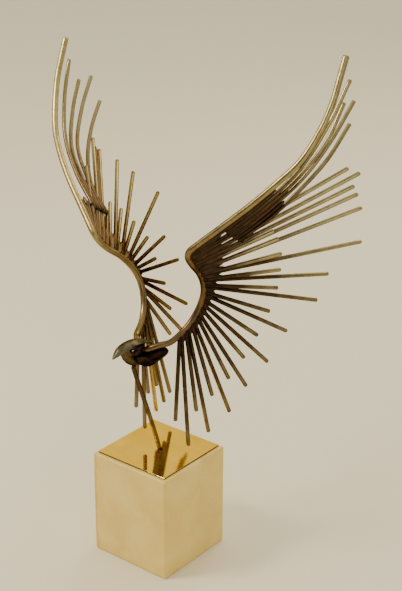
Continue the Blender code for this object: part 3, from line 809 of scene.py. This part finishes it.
def fillet_pairs(rod, fan, brazed, bent_lines):
    """Pairs of neighbouring lines, the share of the way across between them, and the reach."""
    left = rod.side > 0
    out = np.linspace(0, CROTCH_RUN, 32)[:, None]
    neighbours = [(rod.point(-np.linspace(2.0, CROTCH_RUN, 32)), ARM_REACH)]
    for values, reach in zip(brazed, BRAZED_REACH):
        root, _, along = feather_line(rod, *values)
        neighbours.append((root + along * out, reach))
    for place, _, (root, _, along) in separate_feathers(rod, fan):
        neighbours.append((root + along * out, np.interp(place, FAN_REACH_PLACES, FAN_REACH)))
    pairs = [(first, second, share, reach + longer)
             for (first, reach), (second, _) in zip(neighbours, neighbours[1:])
             for share, longer in NOTCH]
    pairs.append((neighbours[1][0], neighbours[2][0], *CLOSED_GAP))
    reaches = LEFT_PRIMARY_REACH if left else RIGHT_PRIMARY_REACH
    pairs += [(first[:60], second[:60], 0.5, reach)
              for first, second, reach in zip(bent_lines, bent_lines[1:], reaches)]
    # Metal also runs between the first primary and the nearest stretch of the wing rod
    apart = np.linalg.norm(rod.line[:, None] - bent_lines[0][None], axis=2)
    beside = rod.line[np.argmin(apart, axis=0)]
    pairs.append((beside, bent_lines[0], 0.55, LEFT_BESIDE_REACH if left else RIGHT_BESIDE_REACH))
    if not left:
        along = np.linspace(0, 0.96, 60)[:, None]
        first, second = (root + (tip - root) * along for root, tip, _ in
                         (feather_line(rod, *values) for values in brazed[1:3]))
        pairs += [(first, second, share, LONG_PAIR_REACH) for share in LONG_PAIR_SHARES]
    return pairs


def wing_braze(name, rod, fan, brazed, bent_lines):
    """The seam and the fillets: tapered rods of metal along a mean of two neighbouring lines."""
    seam = braze_seam(rod, brazed, bent_lines)
    shapes = [rod_mesh(seam, SEAM_RADIUS, SEAM_SIDES, SEAM_TAPER, SEAM_UNEVEN, 1.0)]
    for first, second, share, reach in fillet_pairs(rod, fan, brazed, bent_lines):
        count = min(len(first), len(second))
        middle = first[:count] * (1 - share) + second[:count] * share
        run = run_along(middle)
        middle = middle[run < reach]
        taper = FILLET_TAPER * min(run[len(middle) - 1], FILLET_TAPER_RUN)
        shapes.append(rod_mesh(middle, FILLET_RADIUS, FILLET_SIDES, taper, FILLET_UNEVEN, reach))
    vertices, faces, _ = joined(shapes)
    # The right wing's brazing metal is the paler copy, with painted light
    metal = weld_metal(painted_lit=rod.side < 0)
    braze = new_piece(f"{name}_braze", to_world(vertices), faces, metal, even_age(vertices, BRAZE_TONE))
    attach(braze, "root")


def wing_welds(name, rod, fan, brazed):
    """A bead of weld metal at each feather's root."""
    beads = [(root + FEATHER_BEAD_OUT * along, along)
             for _, _, (root, _, along) in separate_feathers(rod, fan)]
    for values in brazed:
        root, _, along = feather_line(rod, *values)
        beads.append((root + BRAZED_BEAD_OUT * along, along))
    centres, axes = zip(*beads)
    vertices, faces = lump_mesh(centres, axes, [BEAD_SIZE] * len(beads), BEAD_UNEVEN)
    age = even_age(vertices, BEAD_TONE)
    welds = new_piece(f"{name}_root_welds", to_world(vertices), faces, weld_metal(), age)
    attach(welds, "root")


def wing_pieces(settings, name, side, fan, brazed):
    """Builds one wing. The right one is paler all over: painted light, as it stands in the light and the
    left wing in shade.
    """
    if side > 0:
        # Darker tones for the left wing: painted shade
        arm_tones = ("#38281E", "#66533A", "#A79C6C")
        feather_tones = ("#241A14", "#4C3E2C", "#A0946C")
    else:
        # Paler tones for the right wing: painted light
        arm_tones = ("#4C3A26", "#86734A", "#C2B278")
        feather_tones = ("#43352A", "#79674A", "#A89A6C")
    arm_brass = antiqued_brass(f"{name} arm brass", *arm_tones, 0.25, 0.5)
    feather_brass = antiqued_brass(f"{name} feather brass", *feather_tones, 0.24)
    palest_feather_brass = antiqued_brass(f"{name} scraped brass", "#4A3A22", "#B49A54", "#E8D488", 0.24)
    rod = WingRod(side)
    bent_lines = [primary_line(rod, points, trim) for points, trim in zip(PRIMARIES, RIGHT_PRIMARY_TRIM)]
    wing_arm(settings, name, rod, arm_brass)
    wing_feathers(settings, name, rod, fan, feather_brass, palest_feather_brass)
    wing_primaries(settings, name, rod, brazed, bent_lines, feather_brass)
    wing_braze(name, rod, fan, brazed, bent_lines)
    wing_welds(name, rod, fan, brazed)


class BRASSBIRD_OT_left_wing(bpy.types.Operator):
    """Makes the left wing's rod, feathers, primaries and welds"""

    bl_idname = "brassbird.left_wing"
    bl_label = "Left wing"

    def execute(self, context):
        wing_pieces(context.scene.brass_bird, "left", 1, LEFT_FAN, LEFT_BRAZED)
        return {"FINISHED"}


class BRASSBIRD_OT_right_wing(bpy.types.Operator):
    """Makes the right wing's rod, feathers, primaries and welds"""

    bl_idname = "brassbird.right_wing"
    bl_label = "Right wing"

    def execute(self, context):
        wing_pieces(context.scene.brass_bird, "right", -1, RIGHT_FAN, RIGHT_BRAZED)
        return {"FINISHED"}


def cap_surface():
    """The head cap: rows from beak to tail, each falling from its ridge as a power of its width."""
    rows = smooth_route(CAP_ROWS, 6)
    over = np.linspace(-1, 1, 33)
    y, ridge, half, edge = (rows[:, i, None] for i in range(4))
    z = ridge - (ridge - edge) * np.abs(over) ** 2.2
    return np.stack([half * over, y + 0 * over, z], axis=-1)


def throat_surface():
    """The throat: a half round gutter carried down a curved front line."""
    rows = smooth_route(THROAT_ROWS, 6)
    line = np.stack([np.zeros(len(rows)), rows[:, 0], rows[:, 1]], axis=1)
    tangent = unit(np.gradient(line, axis=0))
    forward = np.cross(tangent, (1.0, 0.0, 0.0))
    turn = np.linspace(-math.pi / 2, math.pi / 2, 25)[None, :, None]
    depth, half = rows[:, 2, None, None], rows[:, 3, None, None]
    inwards = depth * (1 - np.cos(turn)) * forward[:, None]
    sideways = half * np.sin(turn) * (1.0, 0.0, 0.0)
    return line[:, None] - inwards + sideways


def shell_surface():
    """The body shell: half ellipses along an axis, swelling and closing, rolled to the left."""
    share = np.linspace(0.01, 0.99, 48)
    share = (1 - np.cos(math.pi * share)) / 2
    axis = smooth_route(SHELL_AXIS, 24)
    y = axis[0, 0] + (axis[-1, 0] - axis[0, 0]) * share
    sideways, height = (np.interp(y, axis[:, 0], axis[:, i]) for i in (1, 2))
    centre = np.stack([sideways, y, height], axis=1)[:, None]
    skewed = share ** 0.85
    full = np.sqrt(4 * skewed * (1 - skewed))[:, None, None]
    ramp = np.clip((share - 0.08) / 0.34, 0, 1)
    roll = np.radians(SHELL_ROLLS[0] + (SHELL_ROLLS[1] - SHELL_ROLLS[0]) * ramp ** 2 * (3 - 2 * ramp))
    zero = np.zeros(len(roll))
    near = np.stack([np.cos(roll), zero, -np.sin(roll)], axis=1)[:, None]
    opening = np.stack([np.sin(roll), zero, np.cos(roll)], axis=1)[:, None]
    turn = np.linspace(-math.pi / 2, math.pi / 2, 33)[None, :, None]
    return centre + full * (SHELL_HALF_WIDTH * np.sin(turn) * near - SHELL_DEPTH * np.cos(turn) * opening)


class BRASSBIRD_OT_body(bpy.types.Operator):
    """Makes the head cap, the throat, the body shell and their welds"""

    bl_idname = "brassbird.body"
    bl_label = "Body"

    def execute(self, context):
        thickness = context.scene.brass_bird.sheet / MM
        plans = (
            ("head", "head_cap", cap_surface()[:, ::-1], ("cap sheet", "#38322A", "#686048", 0.40)),
            ("gullet", "throat", throat_surface(), ("throat sheet", "#2A2118", "#5C4E34", 0.34)),
            # The shell's near-black tones are painted shade, for the shade inside its hollow
            ("breast", "body_shell", shell_surface(), ("shell sheet with painted shade", "#1C130D", "#3E2F20", 0.42)),
        )
        for name, node, surface, finish in plans:
            material = hammered_sheet(*finish)
            surface = surface + SHEET_UNEVEN * ripple(surface, SHEET_WAVE)[..., None]
            vertices, faces = sheet_mesh(surface, thickness)
            piece = new_piece(name, to_world(vertices), faces, material)
            piece.data.set_sharp_from_angle(angle=math.radians(50))
            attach(piece, "root")
            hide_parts(node)
        vertices, faces = lump_mesh(*zip(*BODY_WELDS), BODY_WELD_UNEVEN)
        age = even_age(vertices, BODY_WELD_TONE)
        welds = new_piece("body_welds", to_world(vertices), faces, weld_metal(), age)
        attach(welds, "root")
        return {"FINISHED"}


def soft_lamp(name, place, target, size, power, colour):
    """A square area lamp at a place, turned to a target."""
    data = bpy.data.lights.new(name, "AREA")
    data.shape = "SQUARE"
    data.size = size
    data.energy = power
    data.color = linear(colour)[:3]
    lamp = bpy.data.objects.new(name, data)
    back = unit(np.subtract(place, target))
    right = unit(np.cross((0.0, 0.0, 1.0), back))
    turned = np.stack([right, np.cross(back, right), back], axis=1)
    lamp.matrix_world = Matrix.Translation(place) @ Matrix(turned.tolist()).to_4x4()
    bpy.context.scene.collection.objects.link(lamp)
    return lamp


class BRASSBIRD_OT_stage(bpy.types.Operator):
    """Sets the paper floor, the soft lamps and the camera"""

    bl_idname = "brassbird.stage"
    bl_label = "Stage"

    def execute(self, context):
        settings = context.scene.brass_bird
        mesh = bpy.data.meshes.new("paper_floor")
        corners = [(x * FLOOR_REACH, y * FLOOR_REACH, 0) for x, y in ((-1, -1), (1, -1), (1, 1), (-1, 1))]
        mesh.from_pydata(corners, [], [(0, 1, 2, 3)])
        mesh.materials.append(painted_floor("pale paper", settings.floor))
        floor = bpy.data.objects.new("paper_floor", mesh)
        bpy.context.scene.collection.objects.link(floor)
        world = bpy.data.worlds.new("soft room")
        context.scene.world = world
        world.use_nodes = True
        # A pale room that is brightest overhead and behind the sculpture
        tree = world.node_tree
        facing = node_of(tree, "ShaderNodeTexCoord").outputs["Generated"]
        aim = node_of(tree, "ShaderNodeVectorMath", {"operation": "DOT_PRODUCT", 1: ROOM_BRIGHT},
                      {0: facing})
        spread = node_of(tree, "ShaderNodeMapRange", {"From Min": -0.55, "From Max": 0.45},
                         {"Value": aim.outputs["Value"]})
        tone = ramp_of(tree, spread.outputs["Result"], ((0.0, "#6E6554"), (1.0, "#F8F1E0")))
        room = tree.nodes["Background"]
        tree.links.new(tone, room.inputs["Color"])
        room.inputs["Strength"].default_value = ROOM_STRENGTH
        for name, place, size, share, colour in LAMPS:
            soft_lamp(name, place, LAMP_TARGET, size, settings.lamp * share, colour)
        data = bpy.data.cameras.new("camera")
        data.sensor_fit = "VERTICAL"
        data.sensor_height = 24.0
        data.lens = CAMERA_LENS
        data.clip_start = 0.05
        camera = bpy.data.objects.new("camera", data)
        yaw, pitch, roll = CAMERA_YAW, CAMERA_PITCH, CAMERA_ROLL
        flat = math.cos(pitch)
        back = np.array([math.sin(yaw) * flat, -math.cos(yaw) * flat, math.sin(pitch)])
        right = np.array([math.cos(yaw), math.sin(yaw), 0.0])
        up = np.cross(back, right)
        level = np.stack([math.cos(roll) * right + math.sin(roll) * up,
                          -math.sin(roll) * right + math.cos(roll) * up, back], axis=1)
        camera.matrix_world = Matrix.Translation(CAMERA_PLACE) @ Matrix(level.tolist()).to_4x4()
        context.scene.collection.objects.link(camera)
        context.scene.camera = camera
        return {"FINISHED"}


class BRASSBIRD_PT_panel(bpy.types.Panel):
    """Lists the sculpture's settings and steps"""

    bl_idname = "BRASSBIRD_PT_panel"
    bl_label = "Brass Bird"
    bl_space_type = "VIEW_3D"
    bl_region_type = "UI"
    bl_category = "Brass Bird"

    def draw(self, context):
        for key in BirdSettings.__annotations__:
            self.layout.prop(context.scene.brass_bird, key)
        for step in STEPS:
            self.layout.operator(step.bl_idname)


STEPS = (BRASSBIRD_OT_stand, BRASSBIRD_OT_left_wing, BRASSBIRD_OT_right_wing, BRASSBIRD_OT_body,
         BRASSBIRD_OT_stage)
CLASSES = (BirdSettings, *STEPS, BRASSBIRD_PT_panel)


def register():
    """Registers the classes and hangs the settings on the scene."""
    for entry in CLASSES:
        bpy.utils.register_class(entry)
    bpy.types.Scene.brass_bird = bpy.props.PointerProperty(type=BirdSettings)


def unregister():
    """Takes the settings and the classes away again."""
    del bpy.types.Scene.brass_bird
    for entry in reversed(CLASSES):
        bpy.utils.unregister_class(entry)


def main():
    """Builds every piece in order."""
    register()
    bpy.ops.brassbird.stand()
    bpy.ops.brassbird.left_wing()
    bpy.ops.brassbird.right_wing()
    bpy.ops.brassbird.body()
    bpy.ops.brassbird.stage()


if __name__ == "__main__":
    main()
